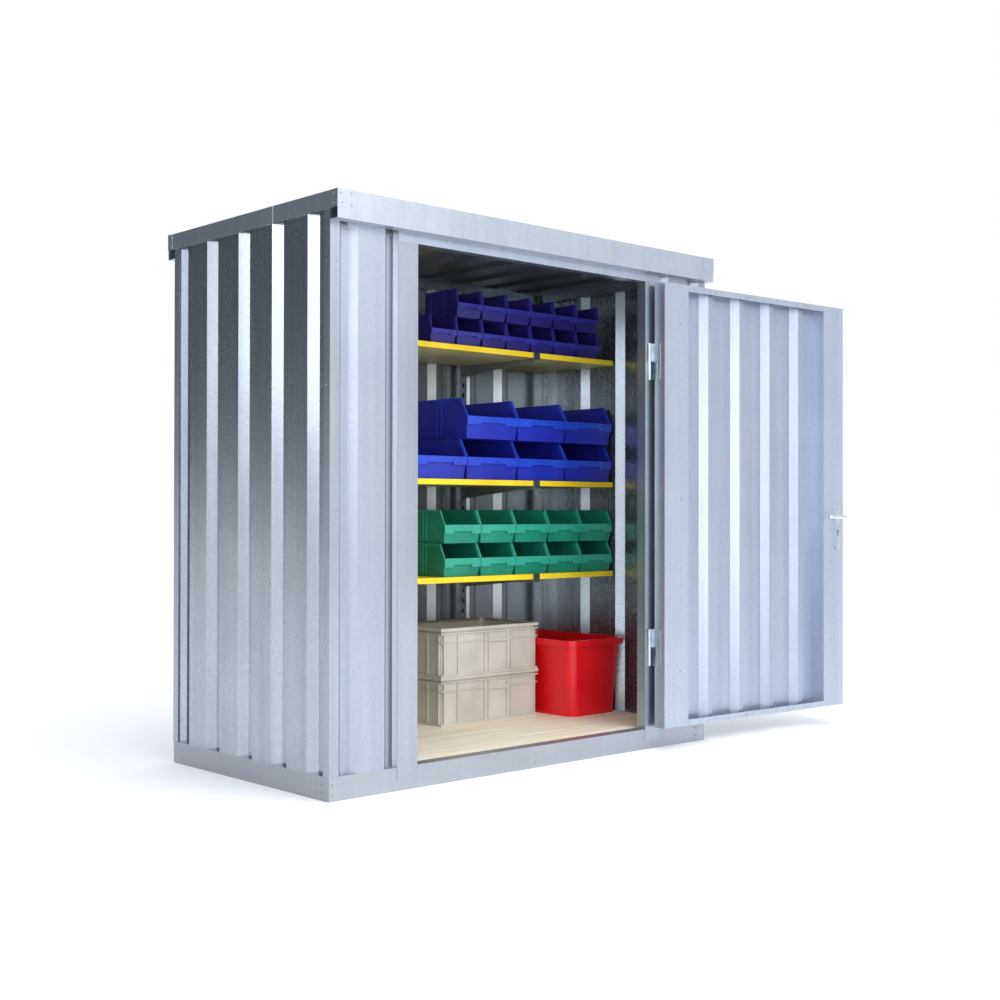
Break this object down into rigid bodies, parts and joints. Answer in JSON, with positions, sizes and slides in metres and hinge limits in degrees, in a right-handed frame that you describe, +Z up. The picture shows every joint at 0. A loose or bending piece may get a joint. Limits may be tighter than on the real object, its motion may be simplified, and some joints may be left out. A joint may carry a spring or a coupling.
{
  "type": "storage container",
  "caption": "Walk-up storage container of ribbed galvanised sheet on a steel sill frame, with a flat rimmed roof, a hinged door and shelves with bins.",
  "frame": {"origin": "on the ground under the middle of the container's base, on the underside of its middle floor joist", "axes": "+X along the front to the right, +Y from front to back, +Z up"},
  "size_m": [3.0143, 1.3482, 2.2],
  "materials": {
    "sill_steel": "hot-dip galvanised, dull",
    "floor_wood": "bare sanded plywood",
    "frame_steel": "galvanised, satin",
    "wall_sheet": "galvanised sheet, fine spangle",
    "roof_sheet": "galvanised sheet, fine spangle",
    "fascia_steel": "galvanised, satin",
    "hinge_zinc": "bright zinc plated",
    "shelf_steel": "galvanised, satin",
    "bracket_steel": "dark grey powder coat",
    "shelf_board": "board with a yellow coated edge",
    "navy_plastic": "moulded polypropylene",
    "blue_plastic": "moulded polypropylene",
    "green_plastic": "moulded polypropylene",
    "grey_plastic": "moulded polypropylene",
    "red_plastic": "moulded polyethylene, waxy gloss",
    "door_sheet": "galvanised sheet, fine spangle",
    "door_frame": "galvanised, satin",
    "lock_zinc": "zinc plated",
    "lever_metal": "polished aluminium"
  },
  "bodies": {
    "container": {"floor_joists": "sill_steel", "sill_front": "sill_steel", "sill_back": "sill_steel", "sill_left": "sill_steel", "sill_right": "sill_steel", "floor_board": "floor_wood", "corner_posts_front": "frame_steel", "corner_posts_back": "frame_steel", "left_wall": "wall_sheet", "right_wall": "wall_sheet", "back_wall": "wall_sheet", "front_panel_left": "wall_sheet", "front_panel_right": "wall_sheet", "door_post_left": "frame_steel", "door_post_right": "frame_steel", "door_lintel": "frame_steel", "top_rail_front": "frame_steel", "top_rail_back": "frame_steel", "top_rails_side": "frame_steel", "roof_sheet": "roof_sheet", "fascia_front": "fascia_steel", "fascia_back": "fascia_steel", "fascia_left": "fascia_steel", "fascia_right": "fascia_steel", "roof_corner_caps": "fascia_steel", "post_hinge_leaves": "hinge_zinc", "shelf_uprights": "shelf_steel", "shelf_brackets": "bracket_steel", "shelf_lower": "shelf_board", "shelf_middle": "shelf_board", "shelf_upper": "shelf_board", "small_bins": "navy_plastic", "large_bins": "blue_plastic", "green_bins": "green_plastic", "grey_crates": "grey_plastic", "red_tub": "red_plastic"},
    "door": {"door_panel": "door_sheet", "door_stile_hinge": "door_frame", "door_stile_lock": "door_frame", "door_rail_top": "door_frame", "door_rail_bottom": "door_frame", "door_hinge_leaves": "hinge_zinc", "lock_plates": "lock_zinc", "lock_cylinder": "lock_zinc"},
    "lever": {"door_lever": "lever_metal"}
  },
  "joints": [
    {"name": "door_hinge", "type": "hinge", "parent": "container", "child": "door", "pos_m": [0.6615, -0.56, 1], "axis": [0, 0, 1], "range_deg": [-177.4, 0]},
    {"name": "lever_turn", "type": "hinge", "parent": "door", "child": "lever", "pos_m": [1.90747, -0.65575, 1.02], "axis": [-0.0447, -0.999, 0], "range_deg": [0, 45], "stiffness_Nm_per_rad": 1.2, "springref_deg": -34.38}
  ]
}
